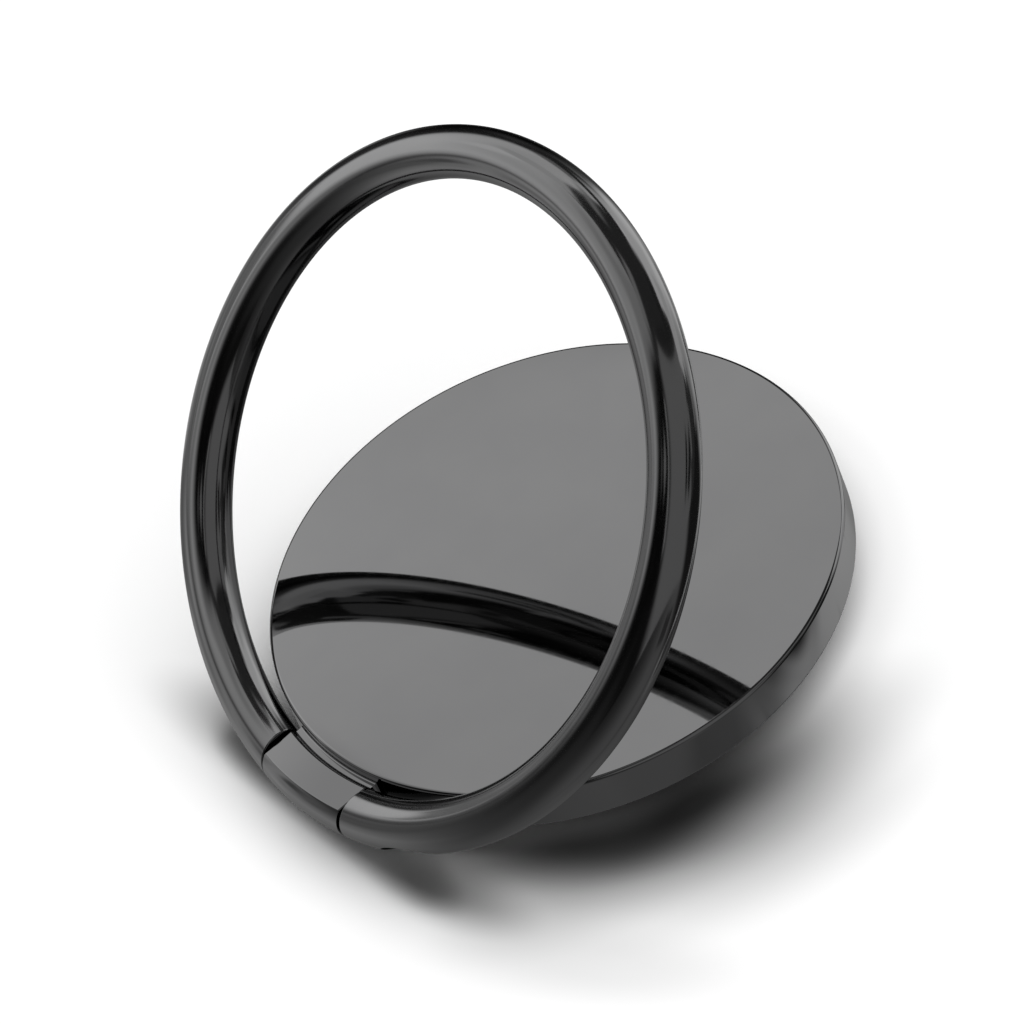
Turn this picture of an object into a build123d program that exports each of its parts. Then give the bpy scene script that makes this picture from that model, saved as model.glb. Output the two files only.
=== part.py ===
from build123d import *
import math
import os

# Folding finger ring on a round swivel disc, with a stick-on base for the back of a phone.
# All sizes in millimetres. Origin at the centre of the adhesive face, Z up out of the mirror face.
# The ring is modelled part open and is hinged on the -Y side of the disc.

# Swivel disc
disc_radius = 15.12
disc_thickness = 2.45
disc_edge_round = 0.2
disc_foot_round = 0.12

# Ring and its hinge line
wire_radius = 1.34
ring_clearance = 0.16
hinge_drop = 1.43
open_angle = 43.2
end_gap = 0.15
end_edge_round = 0.07

# Knuckle on the disc's wall
knuckle_width = 6.2
knuckle_edge_round = 0.07
flat_drop = 0.38
web_drop = 0.65
web_thickness = 1.3
web_blend = 0.1

# Hinge pin, rolled from strip with a slot along it
pin_radius = 0.75
pin_wall = 0.22
pin_slot = 0.3
pin_end_inset = 0.15
pin_press_clearance = 0.01
pin_running_clearance = 0.03

# Base and its adhesive pad
pad_inset = 0.3
pad_thickness = 0.5
base_radius = 11.0
base_gap = 0.2
base_web = 0.7
base_edge_round = 0.4
base_foot_chamfer = 0.25
recess_radius = 6.2

# Pivot rivet
pivot_radius = 2.0
pivot_clearance = 0.05
head_radius = 3.6
head_thickness = 0.45
head_round = 0.2
head_clearance = 0.15
head_dimple_radius = 1.3
head_dimple_depth = 0.2
tenon_radius = 1.4
tenon_length = 1.4
tenon_clearance = 0.01
tenon_bore_relief = 0.1

# Washers
washer_clearance = 0.06
flat_washer_radius = 4.8
flat_washer_thickness = 0.2
spring_radius = 4.3
spring_thickness = 0.2
spring_rise = 0.15
glide_inner_radius = 6.9
glide_width = 2.6
glide_side_clearance = 0.05
glide_groove_depth = 0.25

# Heights that follow, from the adhesive pad up
head_bottom = pad_thickness + head_clearance
head_top = head_bottom + head_thickness
spring_top = head_top + spring_thickness + spring_rise
base_web_bottom = spring_top + flat_washer_thickness
base_top = base_web_bottom + base_web
glide_bottom = base_top - glide_groove_depth
disc_bottom = base_top + base_gap
total_height = disc_bottom + disc_thickness
hinge_height = total_height - hinge_drop
flat_height = total_height - flat_drop
web_top = total_height - web_drop

# Radii and lengths that follow
pad_radius = base_radius - pad_inset
ring_radius = disc_radius + ring_clearance + wire_radius
ring_end = knuckle_width / 2 + end_gap
hinge_reach = math.sqrt(ring_radius**2 - ring_end**2)
washer_bore_radius = pivot_radius + washer_clearance
glide_outer_radius = glide_inner_radius + glide_width

# The straight pin bore breaks out of the curved wire this far from the middle of the hinge
breakout = math.sqrt(ring_radius**2 - (hinge_reach - wire_radius + pin_radius) ** 2)

# Planes of the hinge and of the ring, with the ring plane tilted up about the hinge line
hinge_point = Vector(0, -hinge_reach, hinge_height)
hinge_plane = Plane(hinge_point, x_dir=(0, 1, 0), z_dir=(1, 0, 0))
ring_plane = Plane(hinge_point, x_dir=(1, 0, 0), z_dir=(0, 0, 1)).rotated((open_angle, 0, 0))
ring_centre = ring_plane.from_local_coords((0, hinge_reach, 0))
ring_section = Plane(ring_centre, x_dir=(1, 0, 0), z_dir=-ring_plane.y_dir)

def hinge_disc(radius):
    """Round face centred on the hinge line and square to it."""
    with BuildSketch(hinge_plane) as disc:
        Circle(radius)
    return disc.sketch


# Knuckle: a short piece of the ring's round wire, milled flat on top
with BuildPart() as knuckle:
    with BuildSketch(Plane.XZ):
        with Locations((ring_radius, hinge_height)):
            Circle(wire_radius)
    revolve(axis=Axis.Z)
    with BuildSketch(Plane.XY):
        with Locations((0, -ring_radius)):
            Rectangle(knuckle_width, 3 * wire_radius)
    extrude(amount=flat_height, mode=Mode.INTERSECT)
    fillet(knuckle.faces().sort_by(Axis.Z)[-1].edges(), knuckle_edge_round)

# Swivel disc with the web that carries the knuckle
with BuildPart() as swivel_disc:
    with BuildSketch(Plane.XY.offset(disc_bottom)):
        Circle(disc_radius)
    extrude(amount=disc_thickness)
    fillet(swivel_disc.edges().group_by(Axis.Z)[-1], disc_edge_round)
    fillet(swivel_disc.edges().group_by(Axis.Z)[0], disc_foot_round)
    with BuildSketch(Plane.XY.offset(web_top - web_thickness)):
        with Locations((0, -disc_radius)):
            Rectangle(knuckle_width, 3 * wire_radius - 2 * disc_edge_round)
    extrude(amount=web_thickness)
    add(knuckle.part)
    web_edges = swivel_disc.edges().filter_by_position(Axis.Z, web_top - 0.01, web_top + 0.01)
    fillet(web_edges.filter_by(GeomType.LINE, reverse=True), web_blend)
    extrude(hinge_disc(pin_radius + pin_running_clearance), amount=ring_end, both=True, mode=Mode.SUBTRACT)
    with BuildSketch(Plane.XY.offset(disc_bottom)):
        Circle(tenon_radius + tenon_clearance)
    extrude(amount=tenon_length + tenon_bore_relief, mode=Mode.SUBTRACT)

# Finger ring, round wire with a gap for the knuckle and a straight bore for the pin
with BuildPart() as finger_ring:
    with BuildSketch(ring_section):
        with Locations((ring_radius, 0)):
            Circle(wire_radius)
    revolve(axis=Axis(ring_centre, ring_plane.z_dir))
    with BuildSketch(ring_plane):
        Rectangle(2 * ring_end, 4 * wire_radius)
    extrude(amount=2 * wire_radius, both=True, mode=Mode.SUBTRACT)
    end_faces = finger_ring.faces().filter_by(GeomType.PLANE)
    fillet(end_faces.edges(), end_edge_round)
    extrude(hinge_disc(pin_radius + pin_press_clearance), amount=ring_radius / 2, both=True, mode=Mode.SUBTRACT)

# Hinge pin
with BuildPart() as hinge_pin:
    with BuildSketch(hinge_plane):
        Circle(pin_radius)
        Circle(pin_radius - pin_wall, mode=Mode.SUBTRACT)
        with Locations((0, -pin_radius)):
            Rectangle(pin_slot, pin_radius, mode=Mode.SUBTRACT)
    extrude(amount=breakout - pin_end_inset, both=True)

# Base plate: recess below for the rivet's head, groove above for the glide washer
with BuildPart() as base_plate:
    with BuildSketch(Plane.XY.offset(pad_thickness)):
        Circle(base_radius)
    extrude(amount=base_top - pad_thickness)
    fillet(base_plate.edges().group_by(Axis.Z)[-1], base_edge_round)
    chamfer(base_plate.edges().group_by(Axis.Z)[0], base_foot_chamfer)
    with BuildSketch(Plane.XY.offset(pad_thickness)):
        Circle(recess_radius)
    extrude(amount=base_web_bottom - pad_thickness, mode=Mode.SUBTRACT)
    with BuildSketch(Plane.XY.offset(base_web_bottom)):
        Circle(pivot_radius + pivot_clearance)
    extrude(amount=base_web, mode=Mode.SUBTRACT)
    with BuildSketch(Plane.XY.offset(glide_bottom)):
        Circle(glide_outer_radius + glide_side_clearance)
        Circle(glide_inner_radius - glide_side_clearance, mode=Mode.SUBTRACT)
    extrude(amount=glide_groove_depth, mode=Mode.SUBTRACT)

# Adhesive pad
with BuildPart() as adhesive_pad:
    with BuildSketch(Plane.XY):
        Circle(pad_radius)
    extrude(amount=pad_thickness)

# Glide washer between the base and the disc
with BuildPart() as glide_washer:
    with BuildSketch(Plane.XY.offset(glide_bottom)):
        Circle(glide_outer_radius)
        Circle(glide_inner_radius, mode=Mode.SUBTRACT)
    extrude(amount=disc_bottom - glide_bottom)

# Flat washer under the base's web
with BuildPart() as flat_washer:
    with BuildSketch(Plane.XY.offset(spring_top)):
        Circle(flat_washer_radius)
        Circle(washer_bore_radius, mode=Mode.SUBTRACT)
    extrude(amount=flat_washer_thickness)

# Conical spring washer, wide end up against the flat washer
with BuildPart() as spring_washer:
    with BuildSketch(Plane.XZ):
        with BuildLine():
            Polyline(
                (washer_bore_radius, head_top),
                (spring_radius, spring_top - spring_thickness),
                (spring_radius, spring_top),
                (washer_bore_radius, head_top + spring_thickness),
                close=True,
            )
        make_face()
    revolve(axis=Axis.Z)

# Pivot rivet: head below, shoulder through the base, tenon pressed into the disc
with BuildPart() as pivot_rivet:
    with BuildSketch(Plane.XY.offset(head_bottom)):
        Circle(head_radius)
    extrude(amount=head_thickness)
    fillet(pivot_rivet.edges().group_by(Axis.Z)[0], head_round)
    with BuildSketch(Plane.XY.offset(head_bottom)):
        Circle(head_dimple_radius)
    extrude(amount=head_dimple_depth, mode=Mode.SUBTRACT)
    with BuildSketch(Plane.XY.offset(head_top)):
        Circle(pivot_radius)
    extrude(amount=disc_bottom - head_top)
    with BuildSketch(Plane.XY.offset(disc_bottom)):
        Circle(tenon_radius)
    extrude(amount=tenon_length)

# Parts written out
pieces = {
    "swivel_disc": swivel_disc.part,
    "finger_ring": finger_ring.part,
    "hinge_pin": hinge_pin.part,
    "base_plate": base_plate.part,
    "adhesive_pad": adhesive_pad.part,
    "glide_washer": glide_washer.part,
    "flat_washer": flat_washer.part,
    "spring_washer": spring_washer.part,
    "pivot_rivet": pivot_rivet.part,
}
os.makedirs("parts", exist_ok=True)
for name, piece in pieces.items():
    piece.label = name
    export_step(piece, f"parts/{name}.step")
    print(name, round(piece.volume, 2), len(piece.solids()))
print("hinge", round(hinge_reach, 4), round(hinge_height, 4), "breakout", round(breakout, 3))
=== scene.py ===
import math
import bmesh
import bpy
from mathutils import Matrix, Vector, geometry


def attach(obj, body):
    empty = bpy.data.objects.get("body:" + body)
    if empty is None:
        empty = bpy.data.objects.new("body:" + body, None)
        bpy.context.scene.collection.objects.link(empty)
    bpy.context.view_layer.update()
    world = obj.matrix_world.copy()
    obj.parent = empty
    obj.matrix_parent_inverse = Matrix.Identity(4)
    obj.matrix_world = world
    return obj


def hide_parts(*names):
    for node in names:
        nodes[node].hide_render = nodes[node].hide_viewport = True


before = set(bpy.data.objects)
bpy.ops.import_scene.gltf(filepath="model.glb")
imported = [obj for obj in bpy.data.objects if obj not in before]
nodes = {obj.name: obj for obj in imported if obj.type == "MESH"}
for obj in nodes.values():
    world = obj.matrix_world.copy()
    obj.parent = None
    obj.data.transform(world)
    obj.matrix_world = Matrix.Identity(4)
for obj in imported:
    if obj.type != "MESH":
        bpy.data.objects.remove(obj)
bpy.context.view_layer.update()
scene = bpy.context.scene
mm = 0.001


# A socket with arithmetic: each operator adds its Math node
class Value:
    def __init__(self, tree, socket):
        self.tree = tree
        self.socket = socket

    def math(self, operation, *others):
        sockets = dict(enumerate((self,) + others))
        return self.tree.node("ShaderNodeMath", {"operation": operation}, sockets)

    def __add__(self, other):
        return self.math("ADD", other)

    def __rsub__(self, other):
        return self.tree.node("ShaderNodeMath", {"operation": "SUBTRACT"}, {0: other, 1: self})

    def __mul__(self, other):
        return self.math("MULTIPLY", other)

    __radd__ = __add__
    __rmul__ = __mul__


# A node tree that is filled through one method
class Tree:
    def __init__(self, owner):
        owner.use_nodes = True
        self.nodes = owner.node_tree.nodes
        self.links = owner.node_tree.links
        self.nodes.clear()

    def node(self, kind, settings=None, sockets=None, output=0):
        made = self.nodes.new(kind)
        for name, value in (settings or {}).items():
            setattr(made, name, value)
        for name, value in (sockets or {}).items():
            if isinstance(value, Value):
                self.links.new(value.socket, made.inputs[name])
            else:
                made.inputs[name].default_value = value
        if made.outputs:
            return Value(self, made.outputs[output])


def added(name, data):
    made = bpy.data.objects.new(name, data)
    scene.collection.objects.link(made)
    return made


def hide(piece, *rays):
    for kind in rays:
        setattr(piece, "visible_" + kind, False)


# Points of an outline in millimetres, each with its outward direction, walked with the metal on the left
def run(first, last, steps=1):
    length = math.dist(first, last)
    across, up = last[0] - first[0], last[1] - first[1]
    parts = [step / steps for step in range(steps + 1)]
    outward = (up / length, -across / length)
    return [(first[0] + across * part, first[1] + up * part, *outward) for part in parts]


def arc(middle, radius, start, stop, steps, hollow=False):
    points = []
    side = -1 if hollow else 1
    for step in range(steps + 1):
        angle = math.radians(start + (stop - start) * step / steps)
        across, up = math.cos(angle), math.sin(angle)
        points.append((middle[0] + radius * across, middle[1] + radius * up, side * across, side * up))
    return points


# A closed skin, welded where points meet, with the true normals at the corners of its faces
class Skin:
    def __init__(self):
        self.numbers = {}
        self.points = []
        self.faces = []
        self.normals = []

    def point(self, place):
        key = tuple(round(part, 5) + 0.0 for part in place)
        if key not in self.numbers:
            self.numbers[key] = len(self.points)
            self.points.append([part * mm for part in place])
        return self.numbers[key]

    def face(self, corners, normals):
        kept = {}
        for place, normal in zip(corners, normals):
            kept.setdefault(self.point(place), Vector(normal).normalized())
        if len(kept) < 3:
            return
        order = list(kept)
        ends = [Vector(self.points[number]) for number in order]
        facing = Vector()
        for before, after in zip(ends[1:], ends[2:]):
            facing += (before - ends[0]).cross(after - ends[0])
        if facing.dot(sum(kept.values(), Vector())) < 0:
            order.reverse()
        self.faces.append(order)
        self.normals += [kept[number] for number in order]

    # Faces between two rows, where each row is a list of (place, normal)
    def strip(self, row, nextRow):
        for k in range(len(row) - 1):
            self.face(*zip(row[k], row[k + 1], nextRow[k + 1], nextRow[k]))

    # A flat face with holes
    def flat(self, loops, normal):
        corners = [place for loop in loops for place in loop]
        for triangle in geometry.tessellate_polygon([[Vector(place) for place in loop] for loop in loops]):
            self.face([corners[number] for number in triangle], [normal] * 3)

    def make(self, name, material, body, *replaced):
        mesh = bpy.data.meshes.new(name)
        mesh.from_pydata(self.points, [], self.faces)
        mesh.polygons.foreach_set("use_smooth", [True] * len(self.faces))
        mesh.normals_split_custom_set(self.normals)
        mesh.materials.append(material)
        piece = added(name, mesh)
        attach(piece, body)
        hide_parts(*replaced)
        return piece


# An outline point turned round the swivel axis, by its angle or by its distance to the side
def turned(point, angle=None, side=None):
    radius, height, across, up = point
    if angle is None:
        angle = math.asin(side / radius)
    return (
        (radius * math.sin(angle), -radius * math.cos(angle), height),
        (across * math.sin(angle), -across * math.cos(angle), up),
    )


def turnedSkin(stretches, steps=360):
    skin = Skin()
    angles = [2 * math.pi * step / steps for step in range(steps)] + [0]
    for stretch in stretches:
        rows = [[turned(point, angle) for angle in angles] for point in stretch]
        for row, nextRow in zip(rows, rows[1:]):
            skin.strip(row, nextRow)
    return skin


def show(material, *names):
    for name in names:
        slots = nodes[name].data.materials
        slots.clear()
        slots.append(material)


# Places on a piece, in metres from its own origin, stretched along each axis before a texture reads them
def places(tree, stretch=(1, 1, 1)):
    place = tree.node("ShaderNodeTexCoord", output="Object")
    return tree.node("ShaderNodeVectorMath", {"operation": "MULTIPLY"}, {0: place, 1: stretch})


# Noise between 0 and 1, with its size in millimetres
def grain(tree, place, size, detail=2.0, contrast=(0.35, 0.65)):
    noise = tree.node("ShaderNodeTexNoise", {}, {
        "Vector": place, "Scale": 1 / (size * mm), "Detail": detail,
    })
    return tree.node("ShaderNodeMapRange", {}, {
        "Value": noise, "From Min": contrast[0], "From Max": contrast[1],
    })


# Falls softly from 1 to 0 while a value passes from one limit to the other
def fade(tree, value, first, last):
    return tree.node("ShaderNodeMapRange", {"interpolation_type": "SMOOTHSTEP"}, {
        "Value": value, "From Min": first, "From Max": last, "To Min": 1.0, "To Max": 0.0,
    })


def blendTones(tree, mask, tone, otherTone):
    sockets = {0: mask, 6: (*tone, 1), 7: (*otherTone, 1)}
    return tree.node("ShaderNodeMix", {"data_type": "RGBA"}, sockets, 2)


def finish(tree, material, colour, roughness, metallic, height=None, depth=0.0):
    sockets = {"Base Color": colour, "Metallic": metallic, "Roughness": roughness}
    if height is not None:
        sockets["Normal"] = tree.node("ShaderNodeBump", {}, {"Distance": depth * mm, "Height": height})
    shader = tree.node("ShaderNodeBsdfPrincipled", {}, sockets)
    tree.node("ShaderNodeOutputMaterial", {}, {"Surface": shader})
    return material


# Dark mirror plating of the disc and the ring: a faint cloudiness and hair-fine wiping marks in the polish
mirror = {
    "tone": (0.219, 0.219, 0.220), "deepTone": (0.211, 0.211, 0.213), "cloudSize": 5.0,
    "roughness": 0.022, "wiped": 0.016,
    "markSize": 0.5, "markStretch": (1, 0.12, 1), "markContrast": (0.45, 0.75),
}
# The ring's wire is tumbled rather than lapped, so its mirror is a little softer
ringMirror = {**mirror, "roughness": 0.11, "wiped": 0.03}


def mirrorPlating(name, look):
    material = bpy.data.materials.new(name)
    tree = Tree(material)
    clouds = grain(tree, places(tree), look["cloudSize"], 3.0)
    marks = grain(tree, places(tree, look["markStretch"]), look["markSize"], 4.0, look["markContrast"])
    colour = blendTones(tree, clouds, look["tone"], look["deepTone"])
    return finish(tree, material, colour, look["roughness"] + look["wiped"] * marks, 1.0)


# The same plating over the base, which was turned and only brushed, so that fine rings run round it. Its
# tone is darker than the disc's plating: painted shade, for the base sits in the shade under the disc.
shadedTurnedBase = {
    "tone": (0.13, 0.13, 0.132), "deepTone": (0.10, 0.10, 0.102), "cloudSize": 1.6,
    "roughness": 0.16, "rougher": 0.10, "ringPitch": 0.12, "ringDepth": 0.004, "wander": 2.5,
}
# Bare steel of the rivet and the washers, turned or stamped
turnedSteel = {
    "tone": (0.47, 0.465, 0.455), "deepTone": (0.36, 0.355, 0.345), "cloudSize": 0.9,
    "roughness": 0.24, "rougher": 0.14, "ringPitch": 0.09, "ringDepth": 0.006, "wander": 2.5,
}


def turnedMetal(name, look):
    material = bpy.data.materials.new(name)
    tree = Tree(material)
    out = tree.node("ShaderNodeVectorMath", {"operation": "LENGTH"}, {0: places(tree, (1, 1, 0))}, "Value")
    wander = grain(tree, places(tree), look["cloudSize"], 2.0)
    turns = 2 * math.pi / (look["ringPitch"] * mm)
    toolMarks = (out * turns + wander * look["wander"]).math("SINE")
    clouds = grain(tree, places(tree), look["cloudSize"] * 2, 4.0)
    colour = blendTones(tree, clouds, look["tone"], look["deepTone"])
    roughness = look["roughness"] + look["rougher"] * clouds
    return finish(tree, material, colour, roughness, 1.0, toolMarks * 0.5 + 0.5, look["ringDepth"])


# Ground steel pin, with scratches along it
pinSteel = {
    "tone": (0.50, 0.495, 0.485), "deepTone": (0.38, 0.375, 0.37), "spotSize": 0.6,
    "scratch": 0.05, "scratchStretch": (0.04, 1, 1),
    "roughness": 0.18, "rougher": 0.15, "depth": 0.003,
}


def groundPin(name, look):
    material = bpy.data.materials.new(name)
    tree = Tree(material)
    scratches = grain(tree, places(tree, look["scratchStretch"]), look["scratch"], 3.0)
    spots = grain(tree, places(tree), look["spotSize"], 3.0)
    colour = blendTones(tree, spots, look["tone"], look["deepTone"])
    roughness = look["roughness"] + look["rougher"] * scratches
    return finish(tree, material, colour, roughness, 1.0, scratches, look["depth"])


# Moulded low-friction plastic of the glide washer, slightly cloudy
glidePlastic = {
    "tone": (0.85, 0.85, 0.82), "deepTone": (0.79, 0.785, 0.74), "cloudSize": 2.2,
    "roughness": 0.36, "rougher": 0.14, "grainSize": 0.12, "depth": 0.004,
}


def glide(name, look):
    material = bpy.data.materials.new(name)
    tree = Tree(material)
    clouds = grain(tree, places(tree), look["cloudSize"], 4.0)
    skinGrain = grain(tree, places(tree), look["grainSize"], 2.0)
    colour = blendTones(tree, clouds, look["tone"], look["deepTone"])
    roughness = look["roughness"] + look["rougher"] * skinGrain
    return finish(tree, material, colour, roughness, 0.0, skinGrain, look["depth"])


# Foam tape: dark closed-cell foam, whose cut bubbles show as pores
foam = {
    "tone": (0.062, 0.062, 0.062), "poreTone": (0.022, 0.022, 0.022),
    "poreSize": 0.22, "poreEdge": (0.12, 0.42), "patchiness": 2.5,
    "roughness": 0.78, "rougher": 0.15, "depth": 0.03,
}


def foamTape(name, look):
    material = bpy.data.materials.new(name)
    tree = Tree(material)
    cells = tree.node("ShaderNodeTexVoronoi", {}, {
        "Vector": places(tree), "Scale": 1 / (look["poreSize"] * mm),
    })
    pores = fade(tree, cells, *look["poreEdge"])
    pores = pores * grain(tree, places(tree), look["poreSize"] * look["patchiness"], 2.0)
    colour = blendTones(tree, pores, look["tone"], look["poreTone"])
    roughness = look["roughness"] + look["rougher"] * pores
    return finish(tree, material, colour, roughness, 0.0, 1 - pores, look["depth"])


plating = mirrorPlating("dark_mirror_plating", mirror)
ringPlating = mirrorPlating("dark_ring_plating", ringMirror)
shadedBasePlating = turnedMetal("brushed_base_plating_with_painted_shade", shadedTurnedBase)
steel = turnedMetal("turned_steel", turnedSteel)
foamMaterial = foamTape("foam_tape", foam)
show(groundPin("ground_steel", pinSteel), "hinge_pin")
show(steel, "pivot_rivet", "flat_washer", "spring_washer")
show(glide("glide_plastic", glidePlastic), "glide_washer")
show(plating, "swivel_disc")
show(ringPlating, "finger_ring")
show(shadedBasePlating, "base_plate")
show(foamMaterial, "adhesive_pad")
print("materials are made")

# Swivel disc with its web and its knuckle, which has a milled flat on top
disc = {
    "radius": 15.12, "bottom": 2.55, "top": 5.0, "edgeRound": 0.2, "footRound": 0.12,
    "boreRadius": 1.41, "boreTop": 4.05,
    "webBottom": 3.05, "webTop": 4.35, "webBlend": 0.1,
    "flatHeight": 4.62, "flatEdgeRound": 0.07, "halfWidth": 3.1, "pinBore": 0.78,
    "columnsAcross": 12, "columnsAround": 336, "boreSteps": 48,
}
# What the knuckle and the ring share, in millimetres, with the ring's open angle in degrees
hinge = {
    "wire": 1.34, "ringRadius": 16.62, "reach": 16.2991, "height": 3.57,
    "openAngle": 43.2, "ringEnd": 3.25,
}


def knuckleOutline(look, joint):
    middle = (joint["ringRadius"], joint["height"])
    wire, wall, blend, edge = joint["wire"], look["radius"], look["webBlend"], look["flatEdgeRound"]
    low = look["webBottom"] - middle[1]
    lowReach = math.sqrt(wire**2 - low**2)
    edgeRise = look["flatHeight"] - edge - middle[1]
    edgeReach = math.sqrt((wire - edge) ** 2 - edgeRise**2)
    edgeAngle = math.degrees(math.atan2(edgeRise, edgeReach))
    blendRise = look["webTop"] + blend - middle[1]
    blendReach = math.sqrt((wire + blend) ** 2 - blendRise**2)
    blendAngle = math.degrees(math.atan2(blendRise, blendReach))
    blendHeight = look["webTop"] + blend
    start = 180 + math.degrees(math.atan2(-low, lowReach))
    return [
        run((wall, look["webBottom"]), (middle[0] - lowReach, look["webBottom"])),
        arc(middle, wire, start, 360 + edgeAngle, 64),
        arc((middle[0] + edgeReach, middle[1] + edgeRise), edge, edgeAngle, 90, 6),
        run((middle[0] + edgeReach, look["flatHeight"]), (middle[0] - edgeReach, look["flatHeight"]), 4),
        arc((middle[0] - edgeReach, middle[1] + edgeRise), edge, 90, 180 - edgeAngle, 6),
        arc(middle, wire, 180 - edgeAngle, 180 - blendAngle, 6),
        arc((middle[0] - blendReach, blendHeight), blend, -blendAngle, -90, 8, hollow=True),
        run((middle[0] - blendReach, look["webTop"]), (wall + blend, look["webTop"])),
        arc((wall + blend, blendHeight), blend, -90, -180, 8, hollow=True),
    ]


def discSkin(look, joint):
    skin = Skin()
    radius, bottom, top = look["radius"], look["bottom"], look["top"]
    edge, foot, end = look["edgeRound"], look["footRound"], look["flatEdgeRound"]
    openingTop = look["webTop"] + look["webBlend"]
    # The stretch of wall that is left open where the knuckle's web joins it
    opening = run((radius, look["webBottom"]), (radius, openingTop))
    outline = [
        run((0, look["boreTop"]), (look["boreRadius"], look["boreTop"])),
        run((look["boreRadius"], look["boreTop"]), (look["boreRadius"], bottom)),
        run((look["boreRadius"], bottom), (radius - foot, bottom)),
        arc((radius - foot, bottom + foot), foot, -90, 0, 6),
        run((radius, bottom + foot), (radius, look["webBottom"])),
        opening,
        run((radius, openingTop), (radius, top - edge)),
        arc((radius - edge, top - edge), edge, 0, 90, 10),
        run((radius - edge, top), (0, top)),
    ]
    # Columns across the knuckle, closer together where the flat's ends are rounded
    slopes = [math.sin(math.radians(angle)) for angle in (0, 22.5, 45, 67.5, 90)]
    ends = [look["halfWidth"] - end * (1 - slope) for slope in slopes]
    across, around = look["columnsAcross"], look["columnsAround"]
    inner = [ends[0] * step / across for step in range(1 - across, across)]
    sides = [-side for side in reversed(ends)] + inner + ends
    angles = [math.asin(side / radius) for side in sides]
    gap = 2 * math.pi - 2 * angles[-1]
    angles += [angles[-1] + gap * step / around for step in range(1, around)] + [angles[0]]
    for stretch in outline:
        rows = [[turned(point, angle) for angle in angles] for point in stretch]
        for row, nextRow in zip(rows, rows[1:]):
            if stretch is opening:
                row, nextRow = row[len(sides) - 1:], nextRow[len(sides) - 1:]
            skin.strip(row, nextRow)

    # The knuckle's point in one column, brought down where the flat's ends are rounded
    def rounded(point, side):
        place, normal = turned(point, side=side)
        past = (abs(side) - ends[0]) / end
        limit = look["flatHeight"] - end + end * math.sqrt(max(0, 1 - max(0, past) ** 2))
        if past > 0 and place[2] > limit:
            place = (place[0], place[1], limit)
            normal = (math.copysign(past, side), normal[1], math.sqrt(max(0, 1 - past**2)))
        return place, normal

    caps = {sides[0]: [], sides[-1]: []}
    for stretch in knuckleOutline(look, joint):
        rows = [[rounded(point, side) for side in sides] for point in stretch]
        for row, nextRow in zip(rows, rows[1:]):
            skin.strip(row, nextRow)
        for side, place in caps.items():
            place += [(row[0] if side < 0 else row[-1])[0] for row in rows[:-1]]
    bore = [2 * math.pi * step / look["boreSteps"] for step in range(look["boreSteps"])]
    hole = look["pinBore"]
    rims = {}
    for side, loop in caps.items():
        loop.append(turned((radius, openingTop, 1, 0), side=side)[0])
        rims[side] = [
            ((side, -joint["reach"] + hole * math.cos(turn), joint["height"] + hole * math.sin(turn)),
             (0, -math.cos(turn), -math.sin(turn)))
            for turn in bore
        ]
        skin.flat([loop, [place for place, _ in rims[side]]], (side, 0, 0))
        rims[side].append(rims[side][0])
    skin.strip(*rims.values())
    return skin


# Finger ring: round wire with two flat ends and a straight pin bore that breaks out of the bend
ring = {
    "endRound": 0.07, "pinBore": 0.76,
    "boreColumns": 24, "restColumns": 72, "endSteps": 12, "boreSteps": 8, "stepsAround": 190,
}


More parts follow.
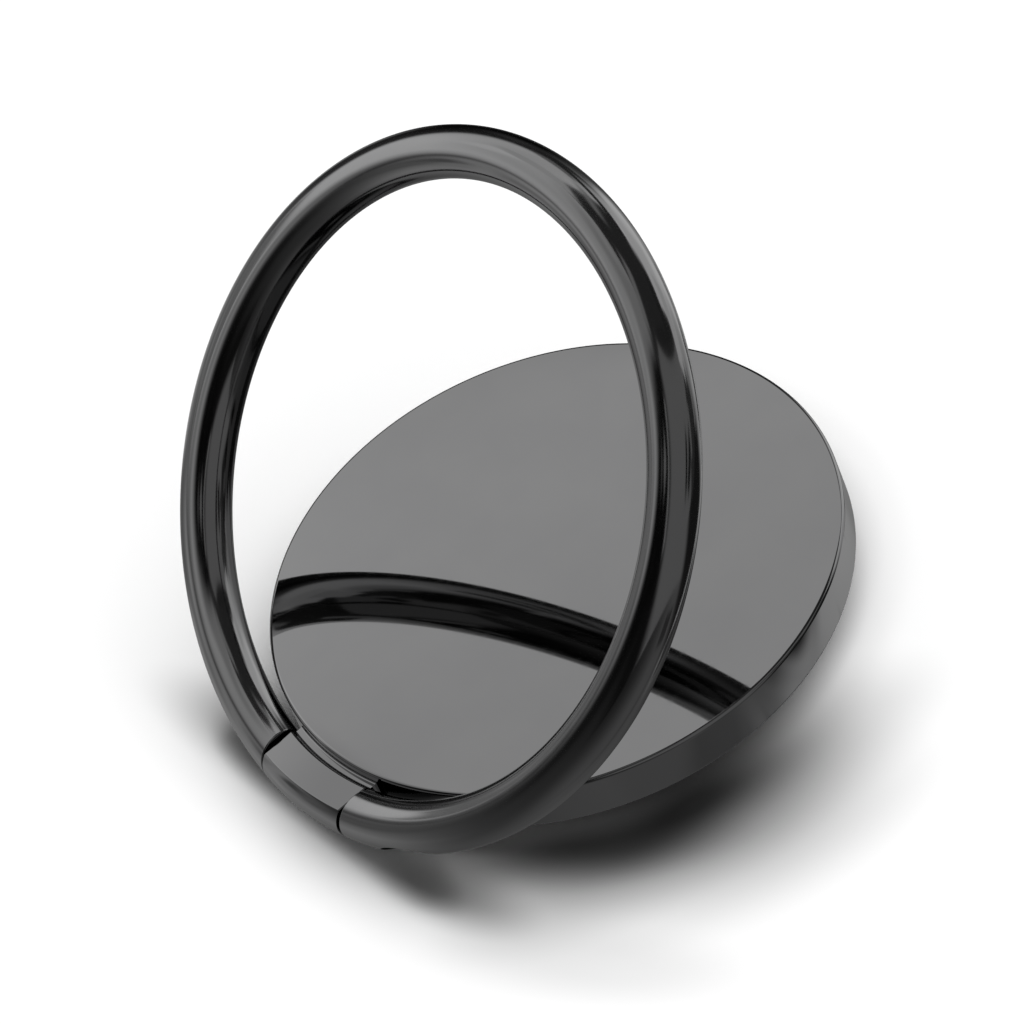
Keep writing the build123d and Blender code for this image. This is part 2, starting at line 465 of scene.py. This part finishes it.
def ringSkin(look, joint):
    skin = Skin()
    tilt = math.radians(joint["openAngle"])
    toHinge = Vector((0, -math.cos(tilt), -math.sin(tilt)))
    up = Vector((0, -math.sin(tilt), math.cos(tilt)))
    middle = Vector((0, -joint["reach"], joint["height"])) - toHinge * joint["reach"]
    radius, wire, reach = joint["ringRadius"], joint["wire"], joint["reach"]
    end, bore, start = look["endRound"], look["pinBore"], joint["ringEnd"] + look["endRound"]

    # Wire angles, which follow even steps round the bore where it breaks out
    boreColumns, restColumns = look["boreColumns"], look["restColumns"]
    halfTurn = boreColumns // 2
    turns = [math.pi * step / boreColumns for step in range(-halfTurn, halfTurn + 1)]
    columns = [math.asin(bore * math.sin(turn) / wire) for turn in turns]
    rest = 2 * math.pi - 2 * columns[-1]
    columns += [columns[-1] + rest * step / restColumns for step in range(1, restColumns)] + [columns[0]]
    meeting = math.acos(reach / (radius + wire * math.cos(columns[0])))

    for side in (1, -1):
        def point(x, y, z, normal):
            place = middle + Vector((side * x, 0, 0)) + toHinge * y + up * z
            facing = Vector((side * normal[0], 0, 0)) + toHinge * normal[1] + up * normal[2]
            return tuple(place), tuple(facing)

        def onWire(around, angle):
            reachOut = radius + wire * math.cos(angle)
            across, along = math.sin(around), math.cos(around)
            normal = (math.cos(angle) * across, math.cos(angle) * along, math.sin(angle))
            return point(reachOut * across, reachOut * along, wire * math.sin(angle), normal)

        # Three blocks of each half ring: the rounded end, the wire up to the bore's mouth, and the rest
        endSteps, steps = look["endSteps"], look["stepsAround"]
        blocks = [[], [], []]
        for number, angle in enumerate(columns):
            reachOut = radius + wire * math.cos(angle)
            first = math.asin(start / reachOut)
            before = after = meeting
            if number < len(turns):
                half = bore * max(0, math.cos(turns[number]))
                before = math.acos((reach + half) / reachOut)
                after = math.acos((reach - half) / reachOut)
            innerOut = radius + (wire - end) * math.cos(angle)
            innerAlong = math.sqrt(innerOut**2 - start**2)
            rounding = []
            for turn in (90, 72, 54, 36, 18):
                sine, cosine = math.sin(math.radians(turn)), math.cos(math.radians(turn))
                normal = (-sine, cosine * math.cos(angle), cosine * math.sin(angle))
                rounding.append(point(
                    start - end * sine,
                    innerAlong + end * normal[1],
                    (wire - end) * math.sin(angle) + end * normal[2],
                    normal,
                ))
            blocks[0].append(rounding + [onWire(first, angle)])
            blocks[1].append([
                onWire(first + (before - first) * step / endSteps, angle) for step in range(endSteps + 1)
            ])
            blocks[2].append([
                onWire(after + (math.pi - after) * step / steps, angle) for step in range(steps + 1)
            ])
        for block in blocks:
            for row, nextRow in zip(block, block[1:]):
                skin.strip(row, nextRow)

        # The bore's wall, in two halves from the wire's end to where it leaves the wire
        rims = []
        boreSteps = look["boreSteps"]
        for half in (1, -1):
            lines = []
            for turn, angle in zip(turns, columns):
                across, rise = half * max(0, math.cos(turn)), math.sin(turn)
                reachOut = radius + wire * math.cos(angle)
                along = reach + bore * across
                last = math.sqrt(reachOut**2 - along**2)
                normal = (0, -across, -rise)
                first = joint["ringEnd"]
                lines.append([
                    point(first + (last - first) * step / boreSteps, along, bore * rise, normal)
                    for step in range(boreSteps + 1)
                ])
            for line, nextLine in zip(lines, lines[1:]):
                skin.strip(line, nextLine)
            rims.append([line[0][0] for line in lines])
        loop = [row[0][0] for row in blocks[0][:-1]]
        hole = rims[0] + rims[1][-2:0:-1]
        skin.flat([loop, hole], (-side, 0, 0))
    return skin


# Base with the rivet's recess below and the glide washer's groove on top
base = {
    "radius": 11.0, "bottom": 0.5, "top": 2.35, "edgeRound": 0.4, "footChamfer": 0.25, "recessRadius": 6.2,
    "webBottom": 1.65, "pivotBore": 2.05, "grooveBottom": 2.1, "grooveInner": 6.85, "grooveOuter": 9.55,
}


def baseOutline(look):
    radius, bottom, top = look["radius"], look["bottom"], look["top"]
    edge, foot = look["edgeRound"], look["footChamfer"]
    inner, outer, groove = look["grooveInner"], look["grooveOuter"], look["grooveBottom"]
    return [
        run((look["recessRadius"], bottom), (radius - foot, bottom)),
        run((radius - foot, bottom), (radius, bottom + foot)),
        run((radius, bottom + foot), (radius, top - edge)),
        arc((radius - edge, top - edge), edge, 0, 90, 12),
        run((radius - edge, top), (outer, top)),
        run((outer, top), (outer, groove)),
        run((outer, groove), (inner, groove)),
        run((inner, groove), (inner, top)),
        run((inner, top), (look["pivotBore"], top)),
        run((look["pivotBore"], top), (look["pivotBore"], look["webBottom"])),
        run((look["pivotBore"], look["webBottom"]), (look["recessRadius"], look["webBottom"])),
        run((look["recessRadius"], look["webBottom"]), (look["recessRadius"], bottom)),
    ]


# Foam tape pad, with its cut edge pressed slightly round
pad = {"radius": 10.7, "thickness": 0.5, "edgeRound": 0.08}


def padOutline(look):
    radius, top, edge = look["radius"], look["thickness"], look["edgeRound"]
    return [
        run((0, 0), (radius - edge, 0)),
        arc((radius - edge, edge), edge, -90, 0, 4),
        run((radius, edge), (radius, top - edge), 3),
        arc((radius - edge, top - edge), edge, 0, 90, 4),
        run((radius - edge, top), (0, top)),
    ]


swivelTop = discSkin(disc, hinge).make("swivel_top", plating, "swivel", "swivel_disc")
ringWire = ringSkin(ring, hinge).make("ring_wire", ringPlating, "ring", "finger_ring")
baseShell = turnedSkin(baseOutline(base)).make("base_shell", shadedBasePlating, "base", "base_plate")
foamPad = turnedSkin(padOutline(pad)).make("foam_pad", foamMaterial, "base", "adhesive_pad")
print("pieces are made")

# Floor, kept out of the reflections, where the studio stands for it. The holder in the photo leans on its
# hinge and shades the floor further out than one that lies flat, so painted shadow lies on the floor round
# it: soft dark patches multiplied into the floor's colour. Each painted shadow patch is (x, y, turn, half
# length, half width, softness, depth), in millimetres and degrees. The floor's half size is in metres.
shade = {"halfSize": 3.0, "tone": 0.95, "paintedShadowPatches": [
    (13.9, -4.4, 74, 15.8, 6.1, 0.96, 0.96),
    (-4.2, -14.2, -81, 3.6, 14.3, 0.98, 0.97),
    (17.8, -13.7, -60, 3.2, 10.8, 0.80, 0.13),
    (18.1, -3.6, -21, 6.0, 11.5, 0.98, 0.45),
    (10.8, -10.1, 44, 10.6, 3.1, 0.98, 0.84),
    (8.3, -15.5, 105, 2.4, 6.1, 0.98, 0.61),
]}
floorMesh = bpy.data.meshes.new("floor")
half = shade["halfSize"]
floorCorners = [(-half, -half, 0), (half, -half, 0), (half, half, 0), (-half, half, 0)]
floorMesh.from_pydata(floorCorners, [], [(0, 1, 2, 3)])
floor = added("floor", floorMesh)
hide(floor, "glossy")
floorMaterial = bpy.data.materials.new("floor")
tree = Tree(floorMaterial)
position = tree.node("ShaderNodeTexCoord", output="Object")
floorToneWithPaintedShadow = shade["tone"]
# Each patch is painted shadow: it darkens the floor's colour by its depth, fading softly towards its edge
for x, y, turn, halfLength, halfWidth, softness, depth in shade["paintedShadowPatches"]:
    local = tree.node("ShaderNodeMapping", {"vector_type": "TEXTURE"}, {
        "Vector": position,
        "Location": (x * mm, y * mm, 0),
        "Rotation": (0, 0, math.radians(turn)),
        "Scale": (halfLength * mm, halfWidth * mm, 1),
    })
    out = tree.node("ShaderNodeVectorMath", {"operation": "LENGTH"}, {0: local}, "Value")
    floorToneWithPaintedShadow = floorToneWithPaintedShadow * (1 - depth * fade(tree, out, 1 - softness, 1.0))
paint = tree.node("ShaderNodeBsdfPrincipled", {}, {
    "Base Color": floorToneWithPaintedShadow, "Roughness": 1.0, "Specular IOR Level": 0.0,
})
tree.node("ShaderNodeOutputMaterial", {}, {"Surface": paint})
floorMesh.materials.append(floorMaterial)

# An oval flag under the hinge, seen by nothing but shadow rays, deepens the shade there and turns with it
flag = {"middle": (-0.8, -16.3), "height": 1.5, "halfLength": 10.0, "halfWidth": 1.5, "corners": 48}
flagMesh = bpy.data.meshes.new("hinge_flag")
flagTurns = [2 * math.pi * step / flag["corners"] for step in range(flag["corners"])]
flagMesh.from_pydata(
    [((flag["middle"][0] + flag["halfLength"] * math.cos(turn)) * mm,
      (flag["middle"][1] + flag["halfWidth"] * math.sin(turn)) * mm,
      flag["height"] * mm) for turn in flagTurns],
    [], [list(range(flag["corners"]))],
)
hingeFlag = added("hinge_flag", flagMesh)
hingeFlag.parent = swivelTop
hide(hingeFlag, "camera", "diffuse", "glossy", "transmission", "volume_scatter")

# Lamp: a large overhead softbox. Its strength is what it gives on the level floor.
softbox = {"toward": (0.2, 0.1, 1.0), "spread": 80, "strength": 1.021}
lamp = bpy.data.lights.new("softbox", "SUN")
lamp.angle = math.radians(softbox["spread"])
direction = Vector(softbox["toward"]).normalized()
lamp.energy = softbox["strength"] * math.pi / direction.z
lampObject = added("softbox", lamp)
lampObject.rotation_euler = direction.to_track_quat("Z", "Y").to_euler()
hide(lampObject, "glossy")

# World: a dim white room, which the camera, metal and glass see as plain white
room = {"dim": 0.105, "white": 1.0}
world = bpy.data.worlds.new("studio")
scene.world = world
tree = Tree(world)
rays = ("Is Camera Ray", "Is Glossy Ray", "Is Transmission Ray")
seen = sum(tree.node("ShaderNodeLightPath", output=kind) for kind in rays)
walls = tree.node("ShaderNodeBackground", {}, {"Color": (1, 1, 1, 1), "Strength": room["dim"]})
backdrop = tree.node("ShaderNodeBackground", {}, {"Color": (1, 1, 1, 1), "Strength": room["white"]})
sky = tree.node("ShaderNodeMixShader", {}, {0: seen, 1: walls, 2: backdrop})
tree.node("ShaderNodeOutputWorld", {}, {"Surface": sky})
print("floor, lamp and world are made")

# Camera at the photo's viewing angle, with its small roll. Place in millimetres, clipping in metres.
view = {
    "place": (203.577, -86.741, 223.200),
    "turn": (2.29921222, 0.917331803, -0.747941650),
    "lens": 216.70, "sensor": 36, "nearest": 0.01, "furthest": 20,
}
camera = bpy.data.cameras.new("camera")
camera.lens = view["lens"]
camera.sensor_width = view["sensor"]
camera.clip_start = view["nearest"]
camera.clip_end = view["furthest"]
cameraObject = added("camera", camera)
rotation = Vector(view["turn"])
turn = Matrix.Rotation(rotation.length, 3, rotation.normalized())
axes = Matrix((turn[0], -turn[1], -turn[2])).transposed()
cameraObject.matrix_world = Matrix.Translation(Vector(view["place"]) * mm) @ axes.to_4x4()
scene.camera = cameraObject
scene.view_settings.view_transform = "Standard"

# Studio round the object, which only reflections see: soft-edged cards laid one over another on a dome.
# Each card is (across, up, roll, half width, half height, softness across, softness up, level). Angles
# are degrees from the line from the object to the camera, softness is in parts of the dome's radius.
studio = {"middle": (12.90, 23.19, 16.59), "radius": 111.0, "subdivisions": 5, "aim": (0, 0, 10.7),
          "ground": 0.0403, "leastSoftness": 0.008, "horizon": 0.05, "cards": [
    (8.9, -91.0, 29.1, 47.5, 38.5, 0.216, 0.353, 0.197),
    (119.2, 58.8, 3.9, 42.0, 53.3, 0.122, 0.02, 0.686),
    (-121.7, 48.1, 6.1, 14.5, 53.4, 0.5, 0.182, 0.643),
    (4.8, 100.3, 11.1, 67.5, 27.0, 0.06, 0.11, 1.3),
    (-49.8, 18.8, -21.8, 30.3, 35.1, 0.159, 0.5, 0.007),
    (-43.4, 46.0, 10.9, 36.6, 1.7, 0.083, 0.199, 1.169),
    (18.2, -10.2, -16.9, 42.9, 36.0, 0.067, 0.0, 0.287),
    (6.9, 59.6, 6.2, 28.0, 22.2, 0.0, 0.0, 0.055),
    (-16.7, 118.6, -14.3, 35.8, 12.8, 0.12, 0.061, 0.063),
    (77.7, -60.1, 6.1, 27.3, 23.9, 0.122, 0.004, 0.025),
    (-94.5, 34.1, 51.0, 1.9, 11.2, 0.094, 0.05, 0.02),
    (-91.6, 51.9, -70.2, 10.3, 4.3, 0.0, 0.019, 0.384),
    (-98.6, 10.6, -49.9, 6.7, 6.4, 0.132, 0.072, 0.154),
    (3.9, -94.8, 95.0, 3.3, 14.1, 0.012, 0.491, 0.131),
    (37.0, 147.4, 77.4, 33.7, 15.6, 0.105, 0.068, 0.255),
    (3.6, 139.5, 78.7, 24.5, 21.6, 0.354, 0.199, 0.005),
    (-12.6, 89.9, 20.2, 48.2, 7.6, 0.256, 0.096, 0.957),
    (-132.0, 27.0, 2.1, 18.3, 4.5, 0.041, 0.024, 0.253),
    (74.7, -12.5, -52.5, 13.9, 18.0, 0.0, 0.05, 0.063),
    (-34.1, 76.6, -34.7, 9.3, 5.2, 0.015, 0.001, 0.82),
    (-27.2, 11.7, -10.5, 2.4, 13.8, 0.0, 0.0, 0.352),
    (64.5, -97.6, -19.9, 7.6, 2.3, 0.117, 0.0, 0.585),
    (-38.7, -22.2, -87.0, 10.6, 11.1, 0.023, 0.119, 0.015),
    (-39.4, 43.8, 81.7, 6.8, 13.7, 0.044, 0.099, 0.467),
    (-50.3, 22.2, -51.7, 2.6, 2.4, 0.011, 0.0, 0.132),
    (33.1, 86.6, 12.1, 4.4, 17.6, 0.004, 0.028, 0.048),
    (54.2, -108.9, -32.0, 18.3, 5.0, 0.037, 0.0, 0.082),
    (37.7, -13.1, 59.3, 9.7, 3.4, 0.059, 0.017, 0.002),
    (-39.2, 18.8, 23.0, 3.7, 3.5, 0.0, 0.003, 0.319),
    (6.1, 79.2, 54.2, 9.5, 3.3, 0.049, 0.062, 0.436),
    (75.6, 52.0, -10.0, 16.3, 15.9, 0.017, 0.019, 1.104),
    (138.4, -18.1, 21.2, 4.5, 10.0, 0.005, 0.001, 0.093),
    (-17.8, 47.7, 55.3, 8.9, 4.1, 0.0, 0.033, 0.39),
    (149.9, -4.6, 12.6, 2.9, 15.7, 0.0, 0.0, 0.101),
    (81.0, 27.4, 65.2, 15.8, 8.8, 0.017, 0.0, 0.896),
    (64.4, -12.4, -97.8, 8.0, 4.3, 0.015, 0.003, 0.287),
    (11.0, 98.3, 41.8, 4.0, 6.8, 0.029, 0.025, 0.301),
    (-109.1, 6.3, -52.4, 1.9, 15.9, 0.018, 0.024, 0.571),
    (99.6, -12.3, -83.1, 8.4, 4.2, 0.003, 0.017, 0.355),
    (-87.1, 20.5, -55.3, 3.2, 1.7, 0.016, 0.016, 0.1),
    (-54.6, 73.2, -78.9, 3.6, 5.3, 0.022, 0.02, 1.217),
    (50.6, -19.5, -52.2, 5.0, 9.1, 0.022, 0.019, 0.022),
    (-162.9, 12.7, 25.4, 5.0, 16.1, 0.02, 0.02, 0.186),
    (19.0, -66.5, -43.7, 9.1, 5.0, 0.02, 0.02, 0.065),
]}


def dot(tree, toPoint, axis):
    sockets = {0: toPoint, 1: axis}
    return tree.node("ShaderNodeVectorMath", {"operation": "DOT_PRODUCT"}, sockets, "Value")


# One card laid over what is below it: its axes turn with it from the camera's line to its own place
def studioCard(tree, look, toPoint, below, card, axes):
    across, up, roll, halfWidth, halfHeight, softAcross, softUp, level = card
    ahead, right, top = axes
    lean, turn = math.radians(math.hypot(across, up)), math.atan2(up, across)
    spin = math.radians(roll)
    outward = right * math.cos(turn) + top * math.sin(turn)
    sideways = top * math.cos(turn) - right * math.sin(turn)
    middle = ahead * math.cos(lean) + outward * math.sin(lean)
    leaning = outward * math.cos(lean) - ahead * math.sin(lean)
    levelAcross = leaning * math.cos(turn) - sideways * math.sin(turn)
    levelUp = leaning * math.sin(turn) + sideways * math.cos(turn)
    width = levelAcross * math.cos(spin) + levelUp * math.sin(spin)
    height = levelUp * math.cos(spin) - levelAcross * math.sin(spin)
    mask = 1
    for axis, half, softness in ((width, halfWidth, softAcross), (height, halfHeight, softUp)):
        edge, soft = math.sin(math.radians(half)), softness + look["leastSoftness"]
        distance = dot(tree, toPoint, axis).math("ABSOLUTE")
        mask = mask * fade(tree, distance, edge - soft, edge + soft)
    # The far side of the dome is as near to the axes, so the card ends halfway round
    mask = mask * tree.node("ShaderNodeMapRange", {"interpolation_type": "SMOOTHSTEP"}, {
        "Value": dot(tree, toPoint, middle), "From Min": -look["horizon"], "From Max": look["horizon"],
    })
    return below + mask * (level - below)


def makeStudio(look, cameraPlace):
    dome = bpy.data.meshes.new("studio_dome")
    shell = bmesh.new()
    bmesh.ops.create_icosphere(shell, subdivisions=look["subdivisions"], radius=look["radius"] * mm)
    shell.to_mesh(dome)
    shell.free()
    dome.polygons.foreach_set("use_smooth", [True] * len(dome.polygons))
    piece = added("studio_dome", dome)
    piece.location = Vector(look["middle"]) * mm
    hide(piece, "camera", "diffuse", "transmission", "volume_scatter", "shadow")
    ahead = (Vector(cameraPlace) - Vector(look["aim"])).normalized()
    right = Vector((0, 0, 1)).cross(ahead).normalized()
    axes = (ahead, right, ahead.cross(right))
    material = bpy.data.materials.new("studio_cards")
    material.cycles.emission_sampling = "NONE"
    tree = Tree(material)
    place = tree.node("ShaderNodeTexCoord", output="Object")
    toPoint = tree.node("ShaderNodeVectorMath", {"operation": "NORMALIZE"}, {0: place})
    level = look["ground"]
    for card in look["cards"]:
        level = studioCard(tree, look, toPoint, level, card, axes)
    glow = tree.node("ShaderNodeBsdfPrincipled", {}, {
        "Base Color": (0, 0, 0, 1), "Roughness": 1.0, "Specular IOR Level": 0.0,
        "Emission Color": level, "Emission Strength": 1.0,
    })
    tree.node("ShaderNodeOutputMaterial", {}, {"Surface": glow})
    dome.materials.append(material)


makeStudio(studio, view["place"])
print("studio is made")
